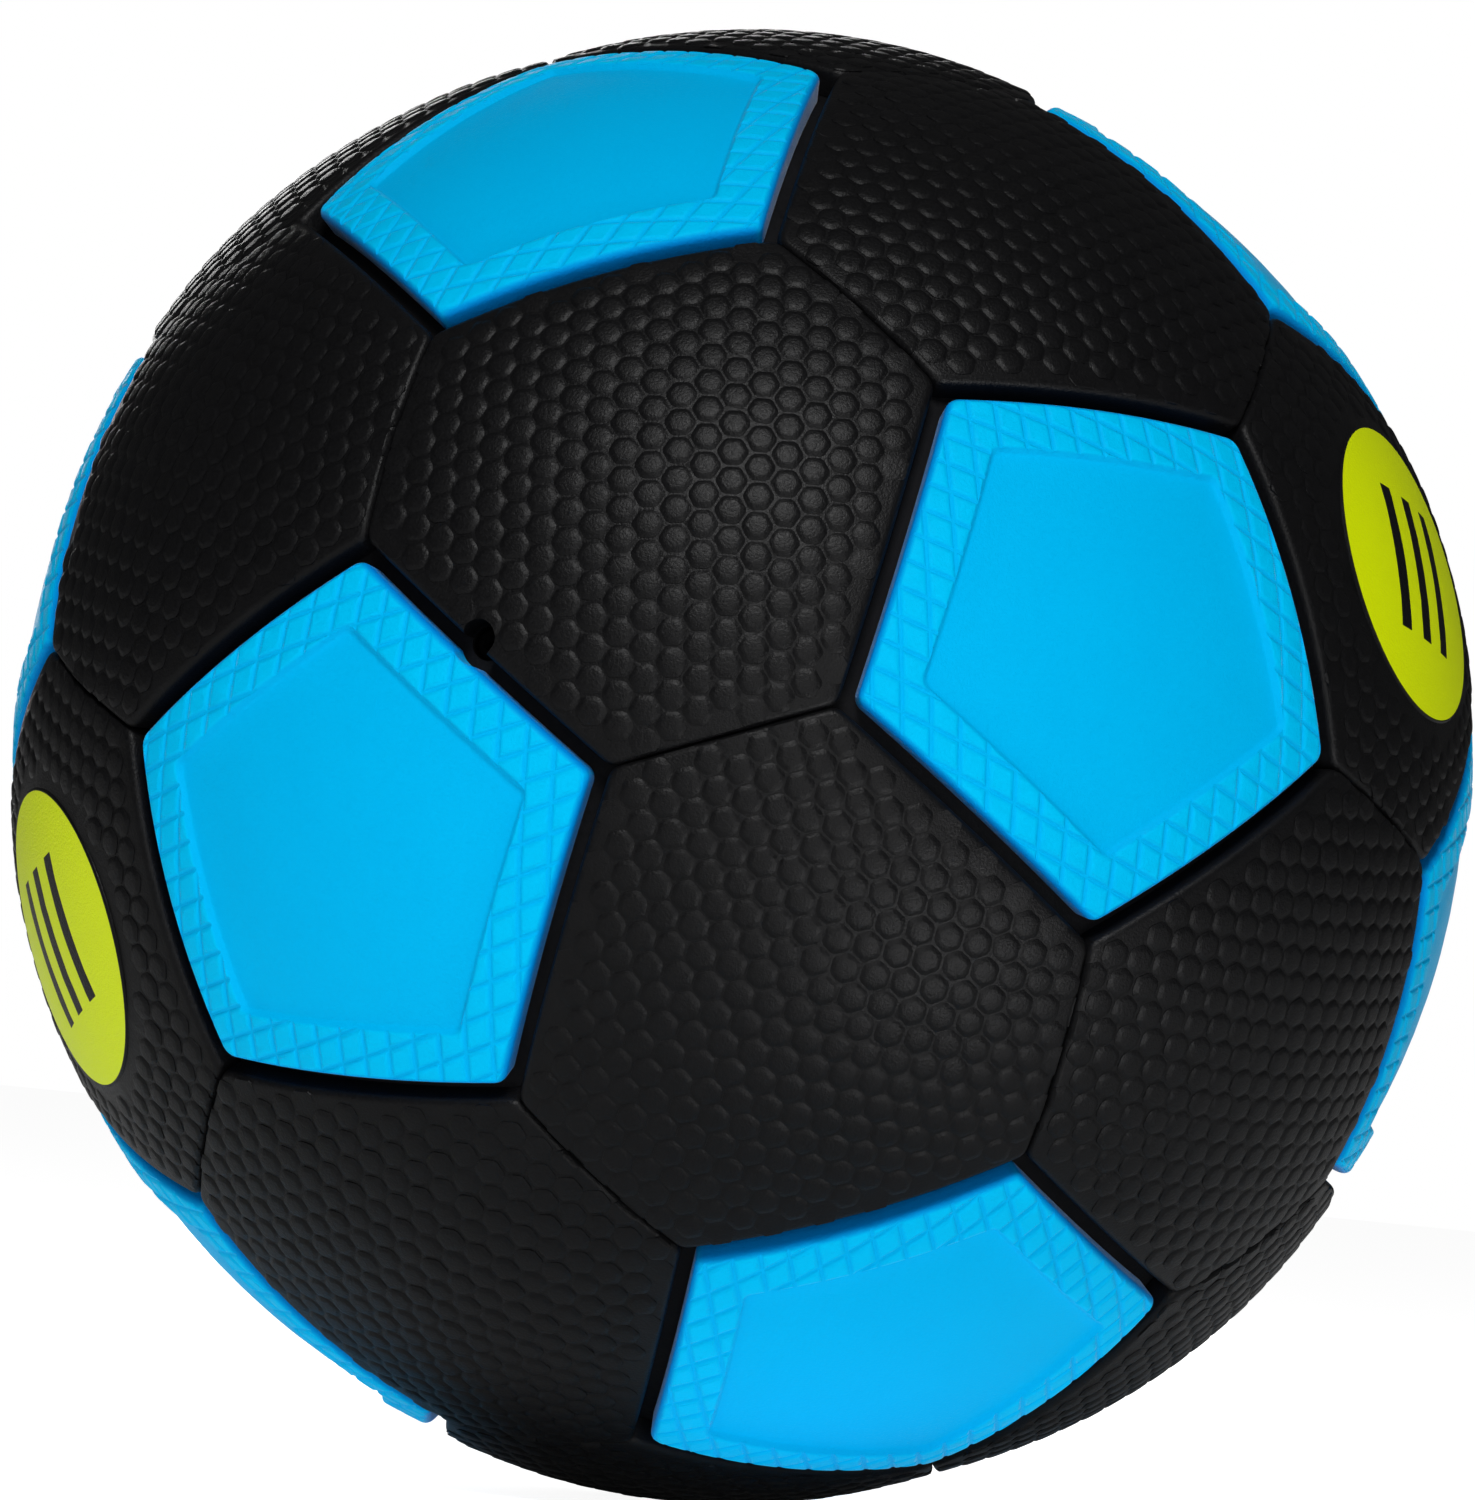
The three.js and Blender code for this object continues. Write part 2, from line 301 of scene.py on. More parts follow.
# Valve plug: a soft rubber plug with a round head, pressed into the housing. A needle goes in through
# the dimple in its head, and the hole closes by itself when the needle is drawn out.
plug_foot = 81.7 * MM
plug_radius = 1.6 * MM
head_radius = 2.1 * MM
head_foot = 99.3 * MM
head_round = 0.5 * MM
needle_hole = 0.5 * MM
needle_floor = 86.7 * MM
dimple_radius = 1.05 * MM
dimple_depth = 0.5 * MM
rib_proud = 0.18 * MM
rib_half = 0.45 * MM
rib_heights = (84.6 * MM, 88.4 * MM, 92.2 * MM, 96.0 * MM)

plug_profile = [(0, plug_foot), (0.55 * plug_radius, plug_foot), (0.9 * plug_radius, plug_foot + 0.35 * MM)]
plug_profile.append((plug_radius, plug_foot + 1.0 * MM))
for height in rib_heights:
    plug_profile.append((plug_radius, height - rib_half))
    plug_profile.append((plug_radius + rib_proud, height - 0.3 * rib_half))
    plug_profile.append((plug_radius + rib_proud, height + 0.3 * rib_half))
    plug_profile.append((plug_radius, height + rib_half))
plug_profile += [
    (plug_radius, head_foot),
    (head_radius - 0.2 * MM, head_foot),
    (head_radius, head_foot + 0.2 * MM),
]
for step in range(6):
    angle = math.pi / 2 * step / 5
    plug_profile.append(
        (head_radius - head_round * (1 - math.cos(angle)), stem_top - head_round * (1 - math.sin(angle)))
    )
plug_profile += [
    (dimple_radius, stem_top),
    (0.8 * dimple_radius, stem_top - 0.45 * dimple_depth),
    (needle_hole, stem_top - dimple_depth),
    (needle_hole, needle_floor),
    (0, needle_floor - needle_hole),
]
plug = in_scene(turned("valve_plug", plug_profile, valve_segments), valve_rubber_painted_shade, valve_crease)
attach(plug, "valve_core")
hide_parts("valve_core")


# Hexagon panels: twenty pieces of black foam, moulded with a honeycomb of low studs, a rolled lip and
# upright sides. They are cemented to the carcass, edge to edge at the seams, and stand clear of the
# pads across a moat. The panel at the valve is bored through at its edge.
ball_radius = 108 * MM
seat_radius = 102.5 * MM
panel_crown = 0.9 * MM
panel_corner = 2.6 * MM
panel_lip = 1.2 * MM
seam_lip_share = 0.8
seam_gap = 0.06 * MM
moat_width = 2.4 * MM
pad_corner_reach = 40.8 * MM
pad_reach = math.atan(math.tan(pad_corner_reach / ball_radius) * math.cos(math.pi / 5)) * ball_radius
stud_pitch = 4.3 * MM
stud_height = 0.31 * MM
stud_foot = 0.7 * MM
stud_crease = 22
lattice_rows = 25
# Distances in from the lip at which the top of a panel is drawn.
crown_insets = (0.9 * MM, 1.8 * MM, 2.8 * MM, 4.0 * MM)
# Distances in from a side over which the studs rise to their full height.
moat_band = (2.0 * MM, 2.9 * MM)
seam_band = (0.2 * MM, 1.2 * MM)
valve_seam_band = (1.2 * MM, 3.0 * MM)
# The studs are trimmed to an envelope a little above the panel, with a wider lip.
envelope_lift = 0.25 * MM
envelope_lip = 1.7 * MM
cutter_foot = 100 * MM
cutter_top = 112 * MM
# Direction of one row of studs in each panel, in degrees round from the pad that comes first.
lattice_turns = (12, 27, 2, 18, 33, 49, 40, 43.7, 22, 8, 55, 30, 58.5, 53.2, 14, 38, 5, 50.6, 25, 46)


def in_order(directions):
    """From the top of the ball down, and at each height round from the front."""
    return sorted(directions, key=lambda d: (-round(d.z, 3), round(math.atan2(d.x, -d.y), 3)))


def pad_directions():
    """The corners of an icosahedron, with the middle of a face on top and an edge at the front."""
    golden = (1 + math.sqrt(5)) / 2
    up = Vector((-1, 1, -1)).normalized()
    back = Vector((golden * golden, golden, -1)).normalized()
    right = back.cross(up)
    corners = []
    for a in (-1, 1):
        for b in (-golden, golden):
            corners += [Vector((0, a, b)), Vector((a, b, 0)), Vector((b, 0, a))]
    return in_order([Vector((c.dot(right), c.dot(back), c.dot(up))).normalized() for c in corners])


def near_pads(direction, reach):
    """The pads round a direction, in their own order."""
    return [p for p in pads if 0.01 < p.angle(direction) < reach]


def facing(direction, towards):
    """The turn that carries +Z to a direction, with +X leaning towards a second one."""
    side = direction.cross(towards).normalized()
    return Matrix((side.cross(direction), side, direction)).transposed().to_4x4()


def unit(bearing):
    return Vector((math.cos(bearing), math.sin(bearing)))


def outline(sides, inset, corner, side_steps, corner_steps):
    """Outline of a piece of the cover, on the plane that touches the unit ball at its middle. Its
    sides are great circles, each with a bearing and a reach, the distance from the middle."""
    lines = [(bearing, math.tan((reach - inset) / ball_radius)) for bearing, reach in sides]
    corner = corner / ball_radius
    centres = []
    for (a, p), (b, q) in zip(lines, lines[1:] + lines[:1]):
        p, q, det = p - corner, q - corner, math.sin(b - a)
        centres.append(
            Vector(((p * math.sin(b) - q * math.sin(a)) / det, (q * math.cos(a) - p * math.cos(b)) / det))
        )
    points = []
    for i, (bearing, _) in enumerate(lines):
        start = centres[i - 1] + corner * unit(bearing)
        end = centres[i] + corner * unit(bearing)
        points += [start.lerp(end, s / side_steps) for s in range(1, side_steps)]
        bend = (lines[(i + 1) % len(lines)][0] - bearing) % (2 * math.pi)
        points += [
            centres[i] + corner * unit(bearing + bend * s / corner_steps) for s in range(corner_steps + 1)
        ]
    return points


def ring(points, radius, share=1.0):
    return [Vector((p.x * share, p.y * share, 1)).normalized() * radius for p in points]


def lofted(name, inner, rings, outer):
    """A closed solid through rings, from the middle of its inner face to the middle of its outer one."""
    work = bmesh.new()
    first = work.verts.new((0, 0, inner))
    loops = [[work.verts.new(p) for p in points] for points in rings]
    last = work.verts.new((0, 0, outer))
    count = len(loops[0])
    for i in range(count):
        after = (i + 1) % count
        work.faces.new((first, loops[0][after], loops[0][i]))
        for lower, upper in zip(loops, loops[1:]):
            work.faces.new((lower[i], lower[after], upper[after], upper[i]))
        work.faces.new((loops[-1][i], loops[-1][after], last))
    mesh = bpy.data.meshes.new(name)
    work.to_mesh(mesh)
    work.free()
    return mesh


pads = pad_directions()
beside = pads[0].angle(min(pads[1:], key=lambda p: p.angle(pads[0]))) + 0.01
hexagons = in_order(
    [
        (a + b + c).normalized()
        for i, a in enumerate(pads)
        for j, b in enumerate(pads[:i])
        for c in pads[:j]
        if max(a.angle(b), b.angle(c), c.angle(a)) < beside
    ]
)
pad_to_hexagon = min(h.angle(pads[0]) for h in hexagons)
seam_to_hexagon = min(h.angle(hexagons[0]) for h in hexagons[1:]) / 2
pad_side = pad_to_hexagon * ball_radius - pad_reach - moat_width
seam_side = seam_to_hexagon * ball_radius - seam_gap / 2
hexagon_sides = [(i * math.pi / 3, seam_side if i % 2 else pad_side) for i in range(6)]


def hexagon_solid(name, lift, lip):
    """A smooth panel whose top is lifted above the ball's own crown, with its lip rolled over."""

    def cut(inset):
        drawn = min(inset, lip) * (1 - seam_lip_share)
        sides = [(b, reach + drawn if i % 2 else reach) for i, (b, reach) in enumerate(hexagon_sides)]
        return outline(sides, inset, panel_corner, 12, 4)

    def top(share):
        return ball_radius - panel_crown * share * share + lift

    rim = cut(0)
    rings = [ring(rim, seat_radius, share) for share in (1 / 3, 2 / 3, 1)]
    for step in range(6):
        angle = math.pi / 2 * step / 5
        rings.append(ring(cut(lip * (1 - math.cos(angle))), top(1) - lip * (1 - math.sin(angle))))
    for inset in crown_insets:
        rings.append(ring(cut(lip + inset), top(1 - inset / pad_side)))
    inside = cut(lip + crown_insets[-1])
    reach = 1 - crown_insets[-1] / pad_side
    rings += [ring(inside, top(share * reach), share) for share in (0.8, 0.6, 0.4, 0.2)]
    return lofted(name, seat_radius, rings, top(0))


def fade(value, start, end):
    t = min(max((value - start) / (end - start), 0), 1)
    return t * t * (3 - 2 * t)


def set_relief(mesh, beside_moat, beside_seam):
    """Height of the studs at each point of a panel, which fades out beside the moat and the seams."""
    relief = mesh.attributes.new("relief", "FLOAT", "POINT")
    for vertex in mesh.vertices:
        flat = Vector((vertex.co.x, vertex.co.y)) / vertex.co.z
        share = 1.0
        for i, (bearing, reach) in enumerate(hexagon_sides):
            apart = reach - math.atan(flat.dot(unit(bearing))) * ball_radius
            start, end = beside_seam if i % 2 else beside_moat
            share = min(share, fade(apart, start, end))
        relief.data[vertex.index].value = share


def stud_mesh():
    """One stud: a low six-sided mound with soft corners, whose foot is sunk into the panel."""
    # Width across in mm, height, and half the bearing of a soft corner in degrees, from the foot up.
    levels = (
        (4.14, -stud_foot, 8),
        (4.0, 0, 8),
        (3.45, 0.13 * MM, 9),
        (2.95, stud_height - 0.06 * MM, 10),
        (2.3, stud_height, 12),
    )
    work = bmesh.new()
    loops = []
    for across, height, soft in levels:
        distance = across * MM / 2 / math.cos(math.radians(30 - soft))
        bearings = [math.radians(60 * k + 30 + side * soft) for k in range(6) for side in (-1, 1)]
        loops.append([work.verts.new((*(distance * unit(b)), height)) for b in bearings])
    crown = work.verts.new((0, 0, stud_height))
    work.faces.new(loops[0][::-1])
    for i in range(12):
        after = (i + 1) % 12
        for lower, upper in zip(loops, loops[1:]):
            work.faces.new((lower[i], lower[after], upper[after], upper[i]))
        work.faces.new((loops[-1][i], loops[-1][after], crown))
    mesh = bpy.data.meshes.new("stud")
    work.to_mesh(mesh)
    work.free()
    return mesh


def new_tree(name, sockets):
    """An empty Geometry Nodes tree with its named inputs, and those inputs."""
    tree = bpy.data.node_groups.new(name, "GeometryNodeTree")
    tree.interface.new_socket("Geometry", in_out="OUTPUT", socket_type="NodeSocketGeometry")
    tree.interface.new_socket("Geometry", in_out="INPUT", socket_type="NodeSocketGeometry")
    for socket, kind in sockets:
        tree.interface.new_socket(socket, in_out="INPUT", socket_type="NodeSocket" + kind)
    return tree, add_node(tree, "NodeGroupInput").outputs


def end_tree(tree, geometry, material):
    plain = add_node(tree, "GeometryNodeRealizeInstances", {"Geometry": geometry})
    dressed = add_node(
        tree, "GeometryNodeSetMaterial", {"Geometry": plain.outputs[0], "Material": material}
    )
    add_node(tree, "NodeGroupOutput", {0: dressed.outputs[0]})


def honeycomb_tree():
    """Studs on a lattice over the ball, dropped on to a panel, trimmed at its lip and joined to it."""
    tree, given = new_tree(
        "Honeycomb studs",
        (
            ("Pitch", "Float"),
            ("Turn", "Float"),
            ("Ball radius", "Float"),
            ("Rows", "Int"),
            ("Bare reach", "Float"),
            ("Stud", "Object"),
            ("Badge", "Object"),
            ("Envelope", "Object"),
            ("Drill", "Object"),
            ("Material", "Material"),
        ),
    )
    row_gap = add_node(tree, "ShaderNodeMath", {0: given["Pitch"], 1: math.sqrt(0.75)}, operation="MULTIPLY")
    gaps = add_node(tree, "ShaderNodeMath", {0: given["Rows"], 1: 1.0}, operation="SUBTRACT")
    width = add_node(tree, "ShaderNodeMath", {0: gaps.outputs[0], 1: given["Pitch"]}, operation="MULTIPLY")
    length = add_node(
        tree, "ShaderNodeMath", {0: gaps.outputs[0], 1: row_gap.outputs[0]}, operation="MULTIPLY"
    )
    grid = add_node(
        tree,
        "GeometryNodeMeshGrid",
        {
            "Size X": width.outputs[0],
            "Size Y": length.outputs[0],
            "Vertices X": given["Rows"],
            "Vertices Y": given["Rows"],
        },
    )
    # Every second row moves along by half a pitch, and the lattice turns to the panel's own direction.
    here = add_node(tree, "GeometryNodeInputPosition").outputs[0]
    parts = add_node(tree, "ShaderNodeSeparateXYZ", {0: here})
    row = add_node(tree, "ShaderNodeMath", {0: parts.outputs[1], 1: row_gap.outputs[0]}, operation="DIVIDE")
    whole = add_node(tree, "ShaderNodeMath", {0: row.outputs[0]}, operation="ROUND")
    odd = add_node(tree, "ShaderNodeMath", {0: whole.outputs[0], 1: 2.0}, operation="FLOORED_MODULO")
    half = add_node(tree, "ShaderNodeMath", {0: given["Pitch"], 1: 0.5}, operation="MULTIPLY")
    shift = add_node(tree, "ShaderNodeMath", {0: odd.outputs[0], 1: half.outputs[0]}, operation="MULTIPLY")
    offset = add_node(tree, "ShaderNodeCombineXYZ", {0: shift.outputs[0]})
    lattice = add_node(tree, "ShaderNodeVectorMath", {0: here, 1: offset.outputs[0]}, operation="ADD")
    turn = add_node(
        tree,
        "ShaderNodeVectorRotate",
        {"Vector": lattice.outputs[0], "Angle": given["Turn"]},
        rotation_type="Z_AXIS",
    ).outputs[0]
    # Wrapped on to the ball, so that distances from the middle of the panel stay true.
    away = add_node(tree, "ShaderNodeVectorMath", {0: turn}, operation="LENGTH").outputs["Value"]
    bare = add_node(tree, "ShaderNodeMath", {0: away, 1: given["Bare reach"]}, operation="LESS_THAN")
    spread = add_node(
        tree, "GeometryNodeDeleteGeometry", {"Geometry": grid.outputs[0], "Selection": bare.outputs[0]}
    )
    angle = add_node(
        tree, "ShaderNodeMath", {0: away, 1: given["Ball radius"]}, operation="DIVIDE"
    ).outputs[0]
    sine = add_node(tree, "ShaderNodeMath", {0: angle}, operation="SINE")
    cosine = add_node(tree, "ShaderNodeMath", {0: angle}, operation="COSINE")
    outward = add_node(tree, "ShaderNodeVectorMath", {0: turn}, operation="NORMALIZE")
    level = add_node(
        tree, "ShaderNodeVectorMath", {0: outward.outputs[0], "Scale": sine.outputs[0]}, operation="SCALE"
    )
    upright = add_node(tree, "ShaderNodeCombineXYZ", {2: cosine.outputs[0]})
    radial = add_node(
        tree, "ShaderNodeVectorMath", {0: level.outputs[0], 1: upright.outputs[0]}, operation="ADD"
    )
    above = add_node(tree, "ShaderNodeMath", {0: given["Ball radius"], 1: 1.05}, operation="MULTIPLY")
    sky = add_node(
        tree, "ShaderNodeVectorMath", {0: radial.outputs[0], "Scale": above.outputs[0]}, operation="SCALE"
    )
    wrapped = add_node(
        tree, "GeometryNodeSetPosition", {"Geometry": spread.outputs[0], "Position": sky.outputs[0]}
    )
    # Dropped on to the panel. What misses it, or lands where the studs have faded out, is taken away.
    inward = add_node(tree, "ShaderNodeVectorMath", {0: here, "Scale": -1.0}, operation="SCALE")
    relief = add_node(tree, "GeometryNodeInputNamedAttribute", {"Name": "relief"}, data_type="FLOAT")
    drop = add_node(
        tree,
        "GeometryNodeRaycast",
        {
            "Target Geometry": given["Geometry"],
            "Attribute": relief.outputs[0],
            "Source Position": here,
            "Ray Direction": inward.outputs[0],
            "Ray Length": given["Ball radius"],
        },
    )
    landed = add_node(tree, "GeometryNodeCaptureAttribute", {"Geometry": wrapped.outputs[0]})
    landed.capture_items.new("VECTOR", "Place")
    landed.capture_items.new("FLOAT", "Relief")
    tree.links.new(drop.outputs["Hit Position"], landed.inputs["Place"])
    tree.links.new(drop.outputs["Attribute"], landed.inputs["Relief"])
    faded = add_node(
        tree, "ShaderNodeMath", {0: landed.outputs["Relief"], 1: 0.05}, operation="LESS_THAN"
    )
    kept = add_node(
        tree, "GeometryNodeDeleteGeometry", {"Geometry": landed.outputs[0], "Selection": faded.outputs[0]}
    )
    seated = add_node(
        tree, "GeometryNodeSetPosition", {"Geometry": kept.outputs[0], "Position": landed.outputs["Place"]}
    )
    spin = add_node(tree, "ShaderNodeCombineXYZ", {2: given["Turn"]})
    spun = add_node(tree, "FunctionNodeEulerToRotation", {0: spin.outputs[0]})
    stand = add_node(
        tree, "FunctionNodeAlignRotationToVector", {"Rotation": spun.outputs[0], "Vector": here}, axis="Z"
    )
    size = add_node(tree, "ShaderNodeCombineXYZ", {0: 1.0, 1: 1.0, 2: landed.outputs["Relief"]})
    stud = add_node(tree, "GeometryNodeObjectInfo", {"Object": given["Stud"]}, transform_space="RELATIVE")
    studs = add_node(
        tree,
        "GeometryNodeInstanceOnPoints",
        {
            "Points": seated.outputs[0],
            "Instance": stud.outputs["Geometry"],
            "Rotation": stand.outputs[0],
            "Scale": size.outputs[0],
        },
    )
    envelope = add_node(
        tree, "GeometryNodeObjectInfo", {"Object": given["Envelope"]}, transform_space="RELATIVE"
    )
    real = add_node(tree, "GeometryNodeRealizeInstances", {"Geometry": studs.outputs[0]})
    trimmed = add_node(
        tree,
        "GeometryNodeMeshBoolean",
        {"Mesh 2": real.outputs[0]},
        operation="INTERSECT",
        solver="MANIFOLD",
    )
    tree.links.new(envelope.outputs["Geometry"], trimmed.inputs["Mesh 2"])
    joined = add_node(
        tree,
        "GeometryNodeMeshBoolean",
        {"Mesh 2": given["Geometry"]},
        operation="UNION",
        solver="MANIFOLD",
    )
    tree.links.new(trimmed.outputs[0], joined.inputs["Mesh 2"])
    badge = add_node(tree, "GeometryNodeObjectInfo", {"Object": given["Badge"]}, transform_space="RELATIVE")
    tree.links.new(badge.outputs["Geometry"], joined.inputs["Mesh 2"])
    drill = add_node(tree, "GeometryNodeObjectInfo", {"Object": given["Drill"]}, transform_space="RELATIVE")
    bored = add_node(
        tree,
        "GeometryNodeMeshBoolean",
        {"Mesh 1": joined.outputs[0], "Mesh 2": drill.outputs["Geometry"]},
        operation="DIFFERENCE",
        solver="MANIFOLD",
    )
    end_tree(tree, bored.outputs[0], given["Material"])
    return tree


def node_made(start, tree, sizes):
    """The plain mesh that a tree makes from a start mesh."""
    holder = bpy.data.objects.new(start.name, start)
    bpy.context.scene.collection.objects.link(holder)
    modifier = holder.modifiers.new(tree.name, "NODES")
    modifier.node_group = tree
    for name, value in sizes.items():
        modifier[tree.interface.items_tree[name].identifier] = value
    evaluated = holder.evaluated_get(bpy.context.evaluated_depsgraph_get())
    mesh = bpy.data.meshes.new_from_object(evaluated)
    name = start.name
    bpy.data.objects.remove(holder)
    bpy.data.meshes.remove(start)
    mesh.name = name
    return mesh


def tool(mesh):
    """A shape that a tree uses, which is taken out of the scene again afterwards."""
    made = bpy.data.objects.new(mesh.name, mesh)
    bpy.context.scene.collection.objects.link(made)
    return made


def round_cutter(name, radius):
    """A straight round cutter along the valve, long enough to go right through the cover."""
    profile = [(0, cutter_foot), (radius, cutter_foot), (radius, cutter_top), (0, cutter_top)]
    return tool(turned(name, profile, valve_segments))


# EVA foam, moulded with a closed skin: near black and half dull, with a fine grain from the mould. The
# grain is drawn coarser than it is, so that it shows.
black_foam = moulded(
    "EVA foam, moulded, black",
    "#080809",
    "#101011",
    patch=5 * MM,
    grain=0.4 * MM,
    depth=0.09 * MM,
    roughness=(0.35, 0.47),
    sheen=0.26,
)

# Lime ink printed on a smooth round badge in the middle of two of the panels: a plain disc with three
# black bars left out of it. The number beside each panel is the turn of its bars, in degrees.
printed_panels = {9: 10, 12: -20}
badge_reach = 22 * MM
badge_edge = 0.2 * MM
badge_foot = 104 * MM
ink_reach = 21.6 * MM
bar_half = 1.5 * MM
bar_spacing = 7 * MM
bar_length = 11 * MM
print_span = 100 * MM
lime_ink = "#d2e400"
lime_print = black_foam.copy()
lime_print.name = "EVA foam, moulded, black with lime ink"
ink = lime_print.node_tree
ink_shader = ink.nodes["Principled BSDF"]
print_place = add_node(ink, "ShaderNodeUVMap", uv_map="panel").outputs[0]
print_flat = add_node(
    ink, "ShaderNodeVectorMath", {0: print_place, 1: (0.5, 0.5, 0)}, operation="SUBTRACT"
).outputs[0]
off_middle = add_node(ink, "ShaderNodeVectorMath", {0: print_flat}, operation="LENGTH").outputs["Value"]
axes = add_node(ink, "ShaderNodeSeparateXYZ", {0: print_flat}).outputs
along = add_node(ink, "ShaderNodeMath", {0: axes[0]}, operation="ABSOLUTE").outputs[0]
across = add_node(ink, "ShaderNodeMath", {0: axes[1]}, operation="ABSOLUTE").outputs[0]
off_bar = add_node(
    ink, "ShaderNodeMath", {0: across, 1: bar_spacing / 2 / print_span}, operation="PINGPONG"
).outputs[0]
inked = None
for measure, limit in (
    (off_bar, bar_half),
    (along, bar_length),
    (across, 1.5 * bar_spacing),
):
    within = add_node(
        ink, "ShaderNodeMath", {0: measure, 1: limit / print_span}, operation="LESS_THAN"
    ).outputs[0]
    if inked is not None:
        within = add_node(ink, "ShaderNodeMath", {0: inked, 1: within}, operation="MULTIPLY").outputs[0]
    inked = within
on_disc = add_node(ink, "ShaderNodeMath", {0: off_middle, 1: ink_reach / print_span}, operation="LESS_THAN")
inked = add_node(
    ink, "ShaderNodeMath", {0: on_disc.outputs[0], 1: inked}, operation="SUBTRACT", use_clamp=True
).outputs[0]
foam_tint = ink_shader.inputs["Base Color"].links[0].from_socket
ink_tint = add_node(ink, "ShaderNodeMix", {0: inked, 6: foam_tint, 7: linear(lime_ink)}, data_type="RGBA")
ink.links.new(ink_tint.outputs[2], ink_shader.inputs["Base Color"])

studs = honeycomb_tree()
stud = tool(stud_mesh())
envelope = tool(hexagon_solid("envelope", envelope_lift, envelope_lip))
badge_profile = [(0, badge_foot), (badge_reach, badge_foot)]
for distance in (1.0, 0.99, 0.75, 0.5, 0.25, 0):
    share = distance * badge_reach / pad_side
    crown = ball_radius - panel_crown * share * share - (badge_edge if distance == 1 else 0)
    badge_profile.append((distance * badge_reach, math.sqrt(crown**2 - (distance * badge_reach) ** 2)))
badge = tool(turned("badge", badge_profile, 64))
badge.matrix_world = along_valve.inverted()
drill = round_cutter("drill", needle_mouth)
for number, direction in enumerate(hexagons, 1):
    node = f"hexagon_panel_{number:02d}"
    place = facing(direction, near_pads(direction, beside)[0])
    at_valve = direction.angle(valve_axis) < pad_to_hexagon / 1.5
    start = hexagon_solid(f"foam_hexagon_{number:02d}", -stud_height, panel_lip)
    set_relief(start, moat_band, valve_seam_band if at_valve else seam_band)
    foam = lime_print if number in printed_panels else black_foam
    drill.matrix_world = place.inverted()
    panel_mesh = node_made(
        start,
        studs,
        {
            "Pitch": stud_pitch,
            "Turn": math.radians(lattice_turns[number - 1]),
            "Ball radius": ball_radius,
            "Rows": lattice_rows,
            "Bare reach": badge_reach + stud_pitch / 2 if number in printed_panels else 0.0,
            "Stud": stud,
            "Badge": badge if number in printed_panels else None,
            "Envelope": envelope,
            "Drill": drill if at_valve else None,
            "Material": foam,
        },
    )
    if number in printed_panels:
        flat = panel_mesh.uv_layers.new(name="panel")
        turn = Matrix.Rotation(-math.radians(printed_panels[number]), 2)
        for loop in panel_mesh.loops:
            spot = turn @ panel_mesh.vertices[loop.vertex_index].co.xy
            flat.data[loop.index].uv = spot / print_span + Vector((0.5, 0.5))
    panel_mesh.transform(place)
    panel = in_scene(panel_mesh, foam, stud_crease)
    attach(panel, "ball")
    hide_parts(node)
for used in (stud, badge, envelope, drill):
    bpy.data.objects.remove(used)


# Pentagon pads: twelve pieces of blue foam, moulded with a raised rim and a smooth sunk middle. Two
# sets of straight grooves cross on the rim. They are cemented to the carcass inside the moat.
pad_top = 106.8 * MM
pad_roll = 1.35 * MM
pad_roll_drop = 1.4 * MM
pad_corner = 2.2 * MM
rim_width = 7.5 * MM
recess_depth = 1.1 * MM
recess_slope = 1.05 * MM
recess_corner = 1.6 * MM
pad_crease = 35
notch_radius = 4.0 * MM
groove_angle = math.radians(2.2)
groove_lean = math.radians(33.6)
groove_depth = 0.32 * MM
groove_count = 21
groove_half_span = math.radians(24)
groove_steps = 14
# Corner of each pad that its grooves are laid out from, counted round from the pad that comes first.
groove_corners = (1, 4, 0, 3, 0, 2, 4, 2, 1, 3, 0, 2)
pad_sides = [((2 * i + 1) * math.pi / 5, pad_reach) for i in range(5)]


def pad_solid(name):
    """A smooth pad: upright sides, a rounded edge, a flat rim and a sunk middle with sloping walls."""

    def cut(inset, corner=pad_corner):
        return outline(pad_sides, inset, corner, 14, 5)

    rim = cut(0)
    floor = pad_top - recess_depth
    rings = [ring(rim, seat_radius, share) for share in (1 / 3, 2 / 3, 1)]
    for step in range(8):
        angle = math.pi / 2 * step / 7
        edge = cut(pad_roll * (1 - math.cos(angle)))
        rings.append(ring(edge, pad_top - pad_roll_drop * (1 - math.sin(angle))))
    for inset in (3.6 * MM, 5.4 * MM):
        rings.append(ring(cut(inset), pad_top))
    # The wall of the sunk middle, in shares of its slope and its depth.
    for inset, drop in ((-0.25, 0), (0.08, 0.06), (0.3, 0.2), (0.7, 0.8), (0.92, 0.94), (1.25, 1)):
        wall = cut(rim_width + inset * recess_slope, recess_corner)
        rings.append(ring(wall, pad_top - drop * recess_depth))
    inside = cut(rim_width + 1.25 * recess_slope, recess_corner)
    rings += [ring(inside, floor, share) for share in (0.8, 0.6, 0.4, 0.2)]
    return lofted(name, seat_radius, rings, floor)


